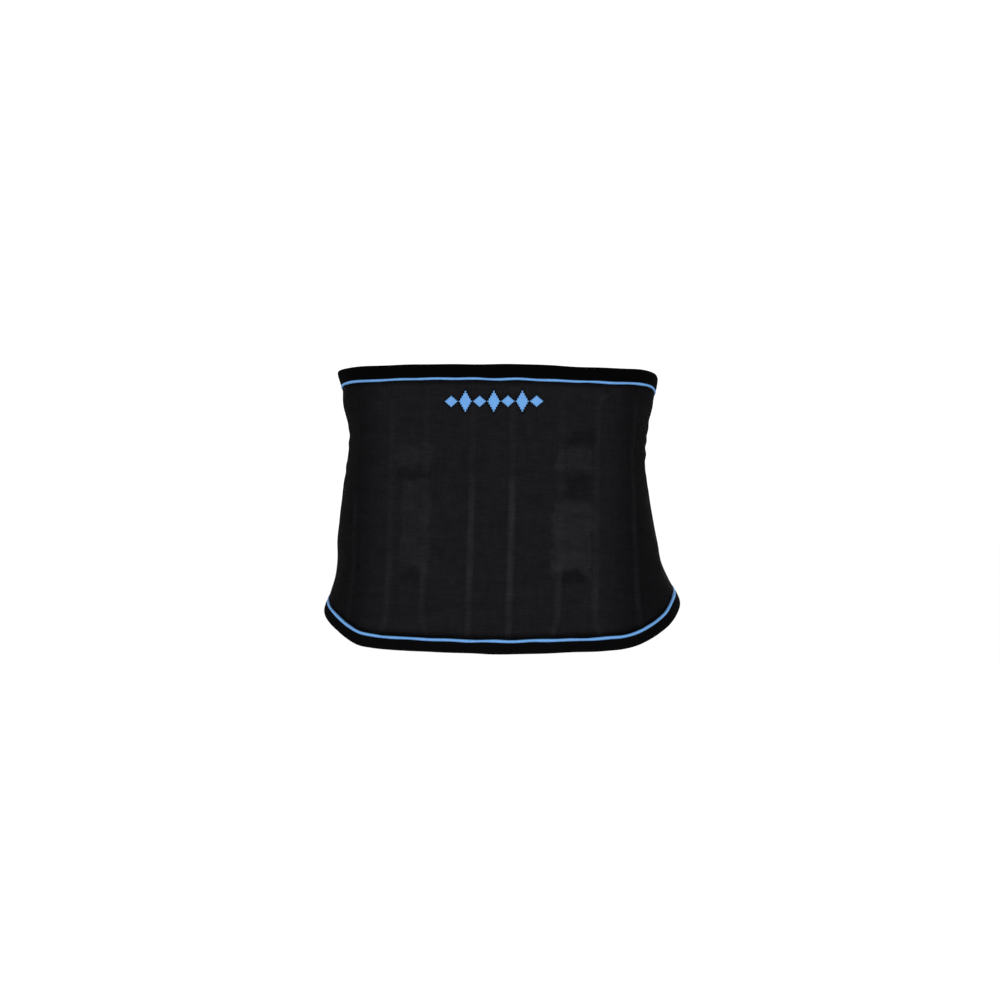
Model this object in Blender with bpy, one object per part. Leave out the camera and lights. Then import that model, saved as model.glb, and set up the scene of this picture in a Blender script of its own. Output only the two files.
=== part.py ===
"""A knitted abdominal belt, wrapped round a waist form and lapped at the front.

Metres, +Z up. The origin is the middle of the hollow at the waist's narrowest level. The centre
back faces -Y and the lapped front faces +Y, so +X is the right side.

Every piece lies on one surface, the waist form. A place on it is a girth position, which is the
length along the waist from the centre back (negative on the left), and a height. An offset is
measured outward from it.
"""

import math
from collections import namedtuple
from functools import lru_cache

import bmesh
import bpy
import numpy as np

# The waist form, which the inside of the belt follows
BACK_HEIGHT = 0.260
WAIST_ABOVE_BOTTOM = 0.189
WAIST_WIDTH = 0.275
WAIST_DEPTH = 0.196
BACK_SQUARENESS = 2.5
FRONT_SQUARENESS = 2.2

# How the edges come in at the free ends
END_TAPER = 0.009
END_TAPER_LENGTH = 0.040

# Walls and borders
KNIT_WALL = 0.0022
BAND_WALL = 0.0030
STRIPE_WALL = 0.0028
TOP_BAND_HEIGHT = 0.0116
BOTTOM_BAND_HEIGHT = 0.0097
STRIPE_HEIGHT = 0.0034
CLEARANCE = 0.0003

# The lapped front and the patch that closes it
OVERLAP = 0.080
LAP_RAMP = 0.060
LAP_MARGIN = 0.006
PATCH_WALL = 0.0016
PATCH_INSET = 0.010

# Stays and pads behind the knit, and the relief that they press into it
SPINE_STAY_SPACING = 0.0376
SPINE_TO_POCKET = 0.0422
POCKET_WIDTH = 0.0335
POCKET_TO_SIDE = 0.0415
STAY_WIDTH = 0.0060
STAY_WALL = 0.0018
RIDGE_HEIGHT = 0.0011
RIDGE_FLANK = 0.0030
RIDGE_TAPER = 0.0100
POCKET_FLANK = 0.0020
PAD_LENGTH = 0.116
PAD_WALL = 0.0026
PAD_RISE = 0.0006
PAD_ARCH = 0.009
DENT_BELOW_PAD_TOP = 0.034
DENT_HALF = 0.008
DENT_SLANT = 0.007

# How high the pads' middle is, as a share of the knit's height
PAD_MIDDLE = 0.51

# Across a border and across a stripe: pairs of a share of its height and a share of its wall
BORDER_PROFILE = ((0.0, 0.55), (0.16, 1.0), (0.84, 1.0), (1.0, 0.55))
STRIPE_PROFILE = ((0.0, 0.5), (0.5, 1.0), (1.0, 0.5))

# Facets: cells along the girth and up the wall
SIDE_CELLS = 14
LAP_CELLS = 6
END_CELLS = 2
PAD_CELLS = 3
PAD_COLUMNS = 4
PATCH_CELLS = 5
RING_POINTS = 2881
SLOPE_STEP = 0.001
TINY = 1e-9

# One row for each level. height is a share of BACK_HEIGHT from the bottom edge. left and right are
# shares of half of WAIST_WIDTH, back and front of half of WAIST_DEPTH. lean is how far the centre
# back lies to the right, as a share of WAIST_WIDTH.
Section = namedtuple("Section", "height left right back front lean")
SECTIONS = (
    Section(height=0.00, left=1.215, right=1.280, back=1.140, front=1.080, lean=-0.010),
    Section(height=0.15, left=1.175, right=1.229, back=1.110, front=1.100, lean=-0.007),
    Section(height=0.20, left=1.140, right=1.185, back=1.090, front=1.110, lean=-0.006),
    Section(height=0.25, left=1.113, right=1.134, back=1.065, front=1.115, lean=-0.005),
    Section(height=0.30, left=1.099, right=1.096, back=1.040, front=1.120, lean=-0.004),
    Section(height=0.38, left=1.099, right=1.065, back=1.005, front=1.120, lean=-0.003),
    Section(height=0.48, left=1.081, right=1.027, back=0.968, front=1.110, lean=-0.001),
    Section(height=0.60, left=1.052, right=0.993, back=0.940, front=1.090, lean=0.000),
    Section(height=0.70, left=1.024, right=0.983, back=0.932, front=1.072, lean=0.001),
    Section(height=0.78, left=1.017, right=1.000, back=0.938, front=1.062, lean=0.003),
    Section(height=0.88, left=1.060, right=1.034, back=0.958, front=1.060, lean=0.004),
    Section(height=0.95, left=1.072, right=1.058, back=0.980, front=1.064, lean=0.005),
    Section(height=1.00, left=1.103, right=1.075, back=1.000, front=1.070, lean=0.006),
)

# One row for each girth position, which is a share of half the girth from the centre back. The
# other columns are shares of BACK_HEIGHT: how far the bottom edge has risen and the top edge has
# dropped there, on the left and on the right.
Rim = namedtuple("Rim", "girth bottom_left bottom_right top_left top_right")
RIMS = (
    Rim(girth=0.00, bottom_left=0.000, bottom_right=0.000, top_left=0.000, top_right=0.000),
    Rim(girth=0.10, bottom_left=0.004, bottom_right=0.002, top_left=-0.002, top_right=0.002),
    Rim(girth=0.20, bottom_left=0.009, bottom_right=0.006, top_left=-0.002, top_right=0.008),
    Rim(girth=0.28, bottom_left=0.014, bottom_right=0.010, top_left=-0.002, top_right=0.010),
    Rim(girth=0.32, bottom_left=0.023, bottom_right=0.014, top_left=-0.002, top_right=0.010),
    Rim(girth=0.36, bottom_left=0.046, bottom_right=0.027, top_left=-0.001, top_right=0.010),
    Rim(girth=0.40, bottom_left=0.075, bottom_right=0.050, top_left=0.002, top_right=0.012),
    Rim(girth=0.44, bottom_left=0.102, bottom_right=0.083, top_left=0.006, top_right=0.017),
    Rim(girth=0.49, bottom_left=0.130, bottom_right=0.136, top_left=0.015, top_right=0.028),
    Rim(girth=0.60, bottom_left=0.168, bottom_right=0.184, top_left=0.038, top_right=0.049),
    Rim(girth=0.72, bottom_left=0.193, bottom_right=0.196, top_left=0.072, top_right=0.077),
    Rim(girth=0.87, bottom_left=0.200, bottom_right=0.200, top_left=0.105, top_right=0.105),
    Rim(girth=1.00, bottom_left=0.200, bottom_right=0.200, top_left=0.108, top_right=0.108),
)

# Colour (linear) and roughness of each material
KNIT_COLOUR, KNIT_ROUGHNESS = (0.0110, 0.0110, 0.0125), 0.85
BAND_COLOUR, BAND_ROUGHNESS = (0.0050, 0.0050, 0.0056), 0.78
STRIPE_COLOUR, STRIPE_ROUGHNESS = (0.130, 0.350, 0.720), 0.70
SLEEVE_COLOUR, SLEEVE_ROUGHNESS = (0.0130, 0.0130, 0.0140), 0.90
PAD_COLOUR, PAD_ROUGHNESS = (0.0200, 0.0200, 0.0220), 0.65
HOOK_COLOUR, HOOK_ROUGHNESS = (0.0080, 0.0080, 0.0085), 0.60

Ring = namedtuple("Ring", "arc x y out_x out_y half_left half_right lean")
Edge = namedtuple("Edge", "name inward height_at_back band_height")
Stay = namedtuple("Stay", "name middle top")

BOTTOM = Edge("bottom", 1, -WAIST_ABOVE_BOTTOM, BOTTOM_BAND_HEIGHT)
TOP = Edge("top", -1, BACK_HEIGHT - WAIST_ABOVE_BOTTOM, TOP_BAND_HEIGHT)


def smoothstep(share):
    """Eases from 0 to 1 as share does."""
    share = min(max(share, 0.0), 1.0)
    return share * share * (3 - 2 * share)


@lru_cache(maxsize=None)
def knots_of(table, column):
    """A table's first column, another column, and that one's slopes."""
    places = np.array([row[0] for row in table])
    values = np.array([getattr(row, column) for row in table])
    return places, values, np.gradient(values, places)


def column_at(table, column, at):
    """A column of a table where its first column is at, on a smooth curve through the rows."""
    places, values, slopes = knots_of(table, column)
    at = min(max(at, places[0]), places[-1])
    row = int(np.clip(np.searchsorted(places, at) - 1, 0, len(places) - 2))
    span = places[row + 1] - places[row]
    t = (at - places[row]) / span
    start = (2 * t**3 - 3 * t**2 + 1) * values[row] + (t**3 - 2 * t**2 + t) * span * slopes[row]
    end = (3 * t**2 - 2 * t**3) * values[row + 1] + (t**3 - t**2) * span * slopes[row + 1]
    return float(start + end)


@lru_cache(maxsize=None)
def ring_at(z):
    """The waist form's outline at height z, twice round, so that a lapped end can pass the front."""
    height = (z + WAIST_ABOVE_BOTTOM) / BACK_HEIGHT
    turn = np.linspace(-2 * math.pi, 2 * math.pi, RING_POINTS)
    across = np.sin(turn)
    along = -np.cos(turn)
    left, right, back, front, lean = (column_at(SECTIONS, c, height) for c in SECTIONS[0]._fields[1:])
    half_width = np.where(across < 0, left, right) * WAIST_WIDTH / 2
    half_depth = np.where(along < 0, back, front) * WAIST_DEPTH / 2
    power = np.where(along < 0, BACK_SQUARENESS, FRONT_SQUARENESS)
    reach = (np.abs(across / half_width) ** power + np.abs(along / half_depth) ** power) ** (-1 / power)
    x = reach * across
    y = reach * along
    steps = np.hypot(np.diff(x), np.diff(y))
    arc = np.concatenate([[0.0], np.cumsum(steps)])
    middle = RING_POINTS // 2
    arc -= arc[middle]
    tangent_x = np.gradient(x, arc)
    tangent_y = np.gradient(y, arc)
    half_turn = (RING_POINTS - 1) // 4
    return Ring(
        arc, x, y, tangent_y, -tangent_x,
        half_left=-arc[middle - half_turn],
        half_right=arc[middle + half_turn],
        lean=lean * WAIST_WIDTH,
    )


def half_girth(ring, q):
    """Half of a ring's girth, on the side of girth position q."""
    return ring.half_left if q < 0 else ring.half_right


WAIST = ring_at(0.0)

SPINE_STAY_AT = SPINE_STAY_SPACING / 2
POCKET_INNER_AT = SPINE_STAY_AT + SPINE_TO_POCKET
POCKET_OUTER_AT = POCKET_INNER_AT + POCKET_WIDTH
SIDE_STAY_AT = POCKET_OUTER_AT + POCKET_TO_SIDE
CREST_HALF = STAY_WIDTH / 2 + CLEARANCE
STRETCH_FROM = SIDE_STAY_AT + CREST_HALF + RIDGE_FLANK

# The outer front end clears the inner end's border, and its knit clears the patch
LAP_STEP = max(KNIT_WALL + PATCH_WALL + 2 * CLEARANCE, BAND_WALL + CLEARANCE, STRIPE_WALL + CLEARANCE)


def lap_start(q):
    """Girth position, without its sign, at which the front lap begins on the side of q."""
    return half_girth(WAIST, q) - OVERLAP / 2


def end_of(side):
    """Girth position of the free end on one side, which is -1 or 1."""
    return side * (half_girth(WAIST, side) + OVERLAP / 2)


def arc_at(q, ring):
    """Arc length along a ring for girth position q. The knit keeps its length at the back, where
    the stays hold it, and stretches towards the front to the ring's own girth."""
    stretch = smoothstep((abs(q) - STRETCH_FROM) / (lap_start(q) - STRETCH_FROM))
    growth = half_girth(ring, q) - half_girth(WAIST, q)
    return q + math.copysign(1.0, q) * growth * stretch + ring.lean * (1 - stretch)


def lap_offset(q):
    """How far the left end steps outward to lie over the right end."""
    raised_from = lap_start(q) - LAP_MARGIN
    return LAP_STEP * smoothstep((-q - raised_from + LAP_RAMP) / LAP_RAMP)


def place(q, z, offset):
    """The point at girth position q and height z, offset outward from the waist form."""
    ring = ring_at(round(z, 7))
    arc = arc_at(q, ring)
    out = offset + lap_offset(q)
    x = np.interp(arc, ring.arc, ring.x) + out * np.interp(arc, ring.arc, ring.out_x)
    y = np.interp(arc, ring.arc, ring.y) + out * np.interp(arc, ring.arc, ring.out_y)
    return (float(x), float(y), z)


def end_taper(q):
    """How far each edge comes in near a free end."""
    into = abs(q) - abs(end_of(math.copysign(1, q))) + END_TAPER_LENGTH
    return END_TAPER * (max(into, 0.0) / END_TAPER_LENGTH) ** 2


def edge_height(edge, q):
    """Height of one of the belt's two edges."""
    side = "left" if q < 0 else "right"
    share = column_at(RIMS, f"{edge.name}_{side}", abs(q) / half_girth(WAIST, q))
    return edge.height_at_back + edge.inward * (BACK_HEIGHT * share + end_taper(q))


def inside_edge(edge, q, distance):
    """Height of the line that runs inside an edge at a distance, measured square to it."""
    rise = edge_height(edge, q + SLOPE_STEP) - edge_height(edge, q - SLOPE_STEP)
    slope = rise / (2 * SLOPE_STEP)
    return edge_height(edge, q) + edge.inward * distance * math.hypot(1, slope)


def knit_edge(edge, q):
    """Height of the knit's own edge, past the border and its stripe."""
    return inside_edge(edge, q, edge.band_height + STRIPE_HEIGHT + 2 * CLEARANCE)


def knit_height(q, share):
    """Height at a share of the knit's own height, from its lower edge."""
    low = knit_edge(BOTTOM, q)
    return low + share * (knit_edge(TOP, q) - low)


def back_share(length):
    """A length as a share of the knit's height at the centre back."""
    return length / (knit_edge(TOP, 0.0) - knit_edge(BOTTOM, 0.0))


TAPER_SHARE = back_share(RIDGE_TAPER)
SPINE_STAY_TOP = 1 - 2 * TAPER_SHARE
STAY_TOP = 1 - TAPER_SHARE
STAYS = tuple(
    Stay(f"{kind}_{side}", sign * at, top)
    for kind, at, top in (
        ("spine_stay", SPINE_STAY_AT, SPINE_STAY_TOP),
        ("pocket_inner_stay", POCKET_INNER_AT, STAY_TOP),
        ("pocket_outer_stay", POCKET_OUTER_AT, STAY_TOP),
        ("side_stay", SIDE_STAY_AT, STAY_TOP),
    )
    for side, sign in (("left", -1), ("right", 1))
)
PAD_LOW = PAD_MIDDLE - back_share(PAD_LENGTH) / 2
PAD_HIGH = PAD_MIDDLE + back_share(PAD_LENGTH) / 2
PAD_FROM = POCKET_INNER_AT + CREST_HALF + POCKET_FLANK
PAD_TO = POCKET_OUTER_AT - CREST_HALF - POCKET_FLANK


def steps_between(start, end, cells):
    """Evenly spaced values after start, up to and including end."""
    return [start + (end - start) * step / cells for step in range(1, cells + 1)]


def dent_at(q):
    """Height share of the dent across the pads, which lies lower on the right."""
    across = min(max(q / POCKET_INNER_AT, -1.0), 1.0)
    return PAD_HIGH - back_share(DENT_BELOW_PAD_TOP + across * DENT_SLANT)


def pad_shares(q, low, high):
    """The rows from a pad's lower end to its upper end, with three for the dent."""
    dent = dent_at(q)
    half = back_share(DENT_HALF)
    return [low] + steps_between(low, dent - half, PAD_CELLS) + [dent, dent + half, high]


def wall_shares(q):
    """The knit's rows: its edges, the ends of the ridges and pads, the dent, and rows between."""
    return (
        [0.0, TAPER_SHARE]
        + steps_between(TAPER_SHARE, PAD_LOW, END_CELLS)
        + pad_shares(q, PAD_LOW, PAD_HIGH)[1:]
        + steps_between(PAD_HIGH, SPINE_STAY_TOP, END_CELLS)
        + [STAY_TOP, 1.0]
    )


def side_stations(side):
    """Girth positions past the last stay, on to the free end."""
    lap = lap_start(side)
    far_end = abs(end_of(side))
    return steps_between(STRETCH_FROM, lap, SIDE_CELLS) + steps_between(lap, far_end, LAP_CELLS)


def wall_stations():
    """Girth positions of the knit, the borders and the stripes, from end to end, with the feet and
    crests of each ridge."""
    spine, inner, outer, lateral = SPINE_STAY_AT, POCKET_INNER_AT, POCKET_OUTER_AT, SIDE_STAY_AT
    foot = CREST_HALF + RIDGE_FLANK
    near = [spine - foot, spine - CREST_HALF, spine + CREST_HALF, spine + foot]
    near += [(spine + inner) / 2]
    near += [inner - foot, inner - CREST_HALF, inner + CREST_HALF, PAD_FROM]
    near += steps_between(PAD_FROM, PAD_TO, PAD_COLUMNS)
    near += [outer - CREST_HALF, outer + CREST_HALF, outer + foot]
    near += [(outer + lateral) / 2]
    near += [lateral - foot, lateral - CREST_HALF, lateral + CREST_HALF, lateral + foot]
    found = [0.0]
    for side in (-1, 1):
        found += [side * q for q in near + side_stations(side)]
    return sorted(found)


def pad_relief(q, share):
    """How far a pad presses the knit outward, which is nothing in the dent and past its ends."""
    if not PAD_LOW - TINY <= share <= PAD_HIGH + TINY:
        return 0.0
    return PAD_RISE * min(abs(share - dent_at(q)) / back_share(DENT_HALF), 1.0)


def relief(q, share):
    """How far the stays and pads press the knit outward at a girth position and row."""
    stay = min(STAYS, key=lambda one: abs(q - one.middle))
    in_pocket = POCKET_INNER_AT < abs(q) < POCKET_OUTER_AT
    floor = pad_relief(q, share) if in_pocket else 0.0
    flank = POCKET_FLANK if in_pocket else RIDGE_FLANK
    rise = 1 - min(max((abs(q - stay.middle) - CREST_HALF) / flank, 0.0), 1.0)
    fade = min(share / TAPER_SHARE, (stay.top - share) / TAPER_SHARE + 1, 1.0)
    return floor + (RIDGE_HEIGHT - floor) * rise * max(fade, 0.0)


def material(name, colour, roughness):
    """A Principled material."""
    made = bpy.data.materials.new(name)
    made.use_nodes = True
    shader = made.node_tree.nodes["Principled BSDF"]
    shader.inputs["Base Color"].default_value = (*colour, 1.0)
    shader.inputs["Roughness"].default_value = roughness
    shader.inputs["Metallic"].default_value = 0.0
    return made


def wrap_solid(name, stations, chains, finish, origin):
    """A closed wall along the girth. chains(q) gives the outer and the inner face at one station,
    each a list of (height, offset) from bottom to top, and both as long. All cells are split along
    the same diagonal, so that the facets of neighbours stay parallel."""
    shape = bmesh.new()
    outer, inner = [], []
    for q in stations:
        outer_chain, inner_chain = chains(q)
        outer.append([shape.verts.new(place(q, z, offset)) for z, offset in outer_chain])
        inner.append([shape.verts.new(place(q, z, offset)) for z, offset in inner_chain])
    rows = len(outer[0])
    for face in (outer, inner):
        for here, there in zip(face, face[1:]):
            for row in range(rows - 1):
                shape.faces.new((here[row], there[row], there[row + 1], here[row + 1]))
    for row in (0, rows - 1):
        for cell in range(len(stations) - 1):
            near, far = outer[cell : cell + 2], inner[cell : cell + 2]
            shape.faces.new((near[0][row], near[1][row], far[1][row], far[0][row]))
    for end in (0, -1):
        for row in range(rows - 1):
            shape.faces.new((outer[end][row], outer[end][row + 1], inner[end][row + 1], inner[end][row]))
    bmesh.ops.triangulate(shape, faces=shape.faces, quad_method="FIXED")
    bmesh.ops.recalc_face_normals(shape, faces=shape.faces)
    mesh = bpy.data.meshes.new(name)
    shape.to_mesh(mesh)
    shape.free()
    mesh.materials.append(finish)
    mesh.shade_smooth()
    mesh.set_sharp_from_angle(angle=math.radians(40))
    made = bpy.data.objects.new(name, mesh)
    bpy.context.scene.collection.objects.link(made)
    made.parent = origin
    return made


def make_strip(name, edge, start, height, wall, profile, finish, origin):
    """A strip that follows an edge, from one distance inside it to another."""

    def chains(q):
        low, high = sorted(inside_edge(edge, q, distance) for distance in (start, start + height))
        outer = [(low + share * (high - low), wall / 2 * (1 + thick)) for share, thick in profile]
        inner = [(low + share * (high - low), wall / 2 * (1 - thick)) for share, thick in profile]
        return outer, inner

    return wrap_solid(name, wall_stations(), chains, finish, origin)


def make_border(edge, finish, origin):
    """The elastic border along one edge, rounded at its two rims."""
    name = f"{edge.name}_band"
    return make_strip(name, edge, 0.0, edge.band_height, BAND_WALL, BORDER_PROFILE, finish, origin)


def make_stripe(edge, finish, origin):
    """The raised line between a border and the knit."""
    name = f"{edge.name}_stripe"
    start = edge.band_height + CLEARANCE
    return make_strip(name, edge, start, STRIPE_HEIGHT, STRIPE_WALL, STRIPE_PROFILE, finish, origin)


def make_knit_body(finish, origin):
    """The knitted wall between the borders, from one free end to the other."""

    def chains(q):
        inner = [(knit_height(q, share), relief(q, share)) for share in wall_shares(q)]
        outer = [(z, offset + KNIT_WALL) for z, offset in inner]
        return outer, inner

    return wrap_solid("knit_body", wall_stations(), chains, finish, origin)


def make_stay(stay, finish, origin):
    """A flat stay in its sleeve, seated in the hollow behind its ridge."""
    face = RIDGE_HEIGHT - CLEARANCE

    def chains(q):
        shares = [share for share in wall_shares(q) if TAPER_SHARE - TINY < share < stay.top + TINY]
        heights = [knit_height(q, share) for share in shares]
        return [(z, face) for z in heights], [(z, face - STAY_WALL) for z in heights]

    stations = [stay.middle - STAY_WIDTH / 2, stay.middle + STAY_WIDTH / 2]
    return wrap_solid(stay.name, stations, chains, finish, origin)


def make_pad(name, side, finish, origin):
    """A pad between a pocket's two stays. Its lower end is hollowed into an arch and its upper
    corners are rounded."""
    first = PAD_FROM + CLEARANCE
    last = PAD_TO - CLEARANCE
    arch = back_share(PAD_ARCH)

    def chains(q):
        across = (abs(q) - first) / (last - first)
        bow = 1 - (2 * across - 1) ** 2
        shares = pad_shares(q, PAD_LOW + arch * bow, PAD_HIGH - arch / 2 * (1 - bow))
        heights = [knit_height(q, share) for share in shares]
        faces = [pad_relief(q, share) - CLEARANCE for share in shares]
        return list(zip(heights, faces)), [(z, PAD_RISE - CLEARANCE - PAD_WALL) for z in heights]

    stations = [first] + steps_between(PAD_FROM, PAD_TO, PAD_COLUMNS)[:-1] + [last]
    return wrap_solid(name, sorted(side * q for q in stations), chains, finish, origin)


def make_closure_patch(finish, origin):
    """The plain patch that joins the lapped ends, on the outer face of the right end."""
    start = lap_start(1) + PATCH_INSET
    end = end_of(1) - PATCH_INSET
    inset = back_share(PATCH_INSET)
    face = KNIT_WALL + CLEARANCE

    def chains(q):
        shares = [inset] + steps_between(inset, 1 - inset, PATCH_CELLS)
        heights = [knit_height(q, share) for share in shares]
        return [(z, face + PATCH_WALL) for z in heights], [(z, face) for z in heights]

    stations = [start] + steps_between(start, end, LAP_CELLS)
    return wrap_solid("closure_patch", stations, chains, finish, origin)


def main():
    for old in list(bpy.data.objects):
        bpy.data.objects.remove(old)
    origin = bpy.data.objects.new("waist_seat", None)
    bpy.context.scene.collection.objects.link(origin)
    knit = material("knit", KNIT_COLOUR, KNIT_ROUGHNESS)
    band = material("band", BAND_COLOUR, BAND_ROUGHNESS)
    stripe = material("stripe", STRIPE_COLOUR, STRIPE_ROUGHNESS)
    sleeve = material("sleeve", SLEEVE_COLOUR, SLEEVE_ROUGHNESS)
    pad = material("pad", PAD_COLOUR, PAD_ROUGHNESS)
    hook = material("hook", HOOK_COLOUR, HOOK_ROUGHNESS)
    make_knit_body(knit, origin)
    for edge in (TOP, BOTTOM):
        make_border(edge, band, origin)
        make_stripe(edge, stripe, origin)
    for stay in STAYS:
        make_stay(stay, sleeve, origin)
    make_pad("lumbar_pad_left", -1, pad, origin)
    make_pad("lumbar_pad_right", 1, pad, origin)
    make_closure_patch(hook, origin)


main()
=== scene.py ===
"""The abdominal belt with its knit, borders, stays, pads and seams, lit and seen from behind.

Metres, +Z up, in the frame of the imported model. A place on the belt is a girth position, which is
the length along the waist from the centre back (negative on the left), and a height. An offset is
measured outward from the waist form.
"""

import math
from collections import namedtuple

import bpy
import numpy as np
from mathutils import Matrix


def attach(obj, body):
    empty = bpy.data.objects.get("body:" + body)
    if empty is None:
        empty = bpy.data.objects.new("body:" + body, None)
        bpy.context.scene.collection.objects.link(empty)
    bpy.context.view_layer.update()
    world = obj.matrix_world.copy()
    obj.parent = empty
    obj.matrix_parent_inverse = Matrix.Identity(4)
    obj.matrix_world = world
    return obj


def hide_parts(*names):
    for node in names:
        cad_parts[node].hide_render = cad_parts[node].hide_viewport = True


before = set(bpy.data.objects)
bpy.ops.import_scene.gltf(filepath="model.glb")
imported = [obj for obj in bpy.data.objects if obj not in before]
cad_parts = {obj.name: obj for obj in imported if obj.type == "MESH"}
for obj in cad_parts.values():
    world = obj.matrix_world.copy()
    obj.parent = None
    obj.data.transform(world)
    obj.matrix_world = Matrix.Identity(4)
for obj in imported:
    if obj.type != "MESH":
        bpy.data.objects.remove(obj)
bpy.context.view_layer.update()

# The waist form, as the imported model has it
BACK_HEIGHT = 0.260
WAIST_ABOVE_BOTTOM = 0.189
WAIST_WIDTH = 0.275
WAIST_DEPTH = 0.196
BACK_SQUARENESS = 2.5
FRONT_SQUARENESS = 2.2
END_TAPER = 0.009
END_TAPER_LENGTH = 0.040
KNIT_WALL = 0.0022
BAND_WALL = 0.0030
STRIPE_WALL = 0.0028
TOP_BAND_HEIGHT = 0.0116
BOTTOM_BAND_HEIGHT = 0.0097
STRIPE_HEIGHT = 0.0034
CLEARANCE = 0.0003
OVERLAP = 0.080
LAP_RAMP = 0.060
LAP_MARGIN = 0.006
PATCH_WALL = 0.0016
PATCH_INSET = 0.010
SPINE_STAY_SPACING = 0.0376
SPINE_TO_POCKET = 0.0422
POCKET_WIDTH = 0.0335
POCKET_TO_SIDE = 0.0415
STAY_WIDTH = 0.0060
STAY_WALL = 0.0018
RIDGE_HEIGHT = 0.0011
RIDGE_FLANK = 0.0030
RIDGE_TAPER = 0.0100
POCKET_FLANK = 0.0020
PAD_LENGTH = 0.116
PAD_WALL = 0.0026
PAD_RISE = 0.0006
PAD_ARCH = 0.009
PAD_MIDDLE = 0.51
RING_POINTS = 2881

# One row for each level. height is a share of BACK_HEIGHT from the bottom edge. left and right are
# shares of half of WAIST_WIDTH, back and front of half of WAIST_DEPTH. lean is how far the centre
# back lies to the right, as a share of WAIST_WIDTH.
Section = namedtuple("Section", "height left right back front lean")
SECTIONS = [Section(*row) for row in (
    (0.00, 1.215, 1.280, 1.140, 1.080, -0.010),
    (0.15, 1.175, 1.229, 1.110, 1.100, -0.007),
    (0.20, 1.140, 1.185, 1.090, 1.110, -0.006),
    (0.25, 1.113, 1.134, 1.065, 1.115, -0.005),
    (0.30, 1.099, 1.096, 1.040, 1.120, -0.004),
    (0.38, 1.099, 1.065, 1.005, 1.120, -0.003),
    (0.48, 1.081, 1.027, 0.968, 1.110, -0.001),
    (0.60, 1.052, 0.993, 0.940, 1.090, 0.000),
    (0.70, 1.024, 0.983, 0.932, 1.072, 0.001),
    (0.78, 1.017, 1.000, 0.938, 1.062, 0.003),
    (0.88, 1.060, 1.034, 0.958, 1.060, 0.004),
    (0.95, 1.072, 1.058, 0.980, 1.064, 0.005),
    (1.00, 1.103, 1.075, 1.000, 1.070, 0.006),
)]

# One row for each girth position, which is a share of half the girth from the centre back. The
# other columns are shares of BACK_HEIGHT: how far the bottom edge has risen and the top edge has
# dropped there, on the left and on the right.
Rim = namedtuple("Rim", "girth bottom_left bottom_right top_left top_right")
RIMS = [Rim(*row) for row in (
    (0.00, 0.000, 0.000, 0.000, 0.000),
    (0.10, 0.004, 0.002, -0.002, 0.002),
    (0.20, 0.009, 0.006, -0.002, 0.008),
    (0.28, 0.014, 0.010, -0.002, 0.010),
    (0.32, 0.023, 0.014, -0.002, 0.010),
    (0.36, 0.046, 0.027, -0.001, 0.010),
    (0.40, 0.075, 0.050, 0.002, 0.012),
    (0.44, 0.102, 0.083, 0.006, 0.017),
    (0.49, 0.130, 0.136, 0.015, 0.028),
    (0.60, 0.168, 0.184, 0.038, 0.049),
    (0.72, 0.193, 0.196, 0.072, 0.077),
    (0.87, 0.200, 0.200, 0.105, 0.105),
    (1.00, 0.200, 0.200, 0.108, 0.108),
)]

# How many waves an unevenness is made of and their lengths as shares of the one that is asked for,
# how finely the form is sampled, and how far past the belt's ends, bottom and top
WAVES = 9
WAVE_LENGTHS = (0.7, 1.5)
LEVEL_STEP = 0.001
GIRTH_STEP = 0.0005
PAST_ENDS = 0.002
PAST_BOTTOM = 0.002
PAST_TOP = 0.004

# The cells of the pieces. The knit's are wider on the flanks and the front. Those of a rib and
# a stitch count for each rib and each stitch.
Cells = namedtuple("Cells", "across up")
KNIT_ROWS = 98
KNIT_CELL = 0.00125
FRONT_CELL = 0.0028
FINE_TO = 0.155
RIB_CELLS = Cells(5, 12)
STITCH_CELLS = Cells(6, 6)
SLEEVE_CELLS = Cells(14, 88)
PAD_CELLS = Cells(18, 80)
BINDING_CELLS = Cells(12, 90)
PATCH_CELLS = Cells(40, 100)

# Knitted stitches. STITCH_LOW is the share of its height that the yarn keeps between two courses.
WALE = 0.0015
COURSE = 0.0011
STITCH_SLANT = 0.9
STITCH_LOW = 0.35

# Ribbed borders. RIB_MEAN is how high a rib is where the wall has its plain thickness, and
# RIM_WALL the share of it that the rims keep.
RIB_PITCH = 0.0021
RIB_DEPTH = 0.00028
RIB_MEAN = 0.6
RIM_WALL = 0.12
RIM_SQUARENESS = 3.2
RIM_FULLNESS = 2.4
RIM_PALER = 0.5
RIM_PALER_POWER = 6

# Blue stripes. They are the share STRIPE_RIM of the wall thick, and up to STRIPE_CROWN more towards
# the middle, in an arch that CROWN_FROM cuts off at its two ends.
STRIPE_WALE = 0.0021
STRIPE_COURSES = 2
STRIPE_RELIEF = 0.0006
STRIPE_INSIDE = 0.0003
STRIPE_RIM = 0.72
STRIPE_CROWN = 0.18
CROWN_FROM = 0.12

# The knit and the borders reach this far into the stripe. The knit then bends inward within a step
# and runs on behind the stripe and the border, between two offsets.
REACH_IN = 0.0005
TUCK_STEP = 0.0002
TUCK_INSIDE = 0.0007
TUCK_OUTSIDE = 0.0011

# How far the borders and stripes end inside the bindings of the free ends
TRIM_INSET = 0.0015

# Tones are factors of a piece's colour, where its relief is low and where it is high. The bindings
# are plain.
BAND_TONE = (0.55, 1.30)
STRIPE_TONE = (0.48, 1.24)
# The next tone is painted shade at a stripe's rims and a painted highlight along its middle
STRIPE_PAINTED_SHADING = (0.35, 1.00)
MOTIF_TONE = (0.45, 1.13)
SLEEVE_TONE = (0.95, 1.20)
PATCH_TONE = (0.80, 1.20)
BINDING_TONE = 0.6

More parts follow.
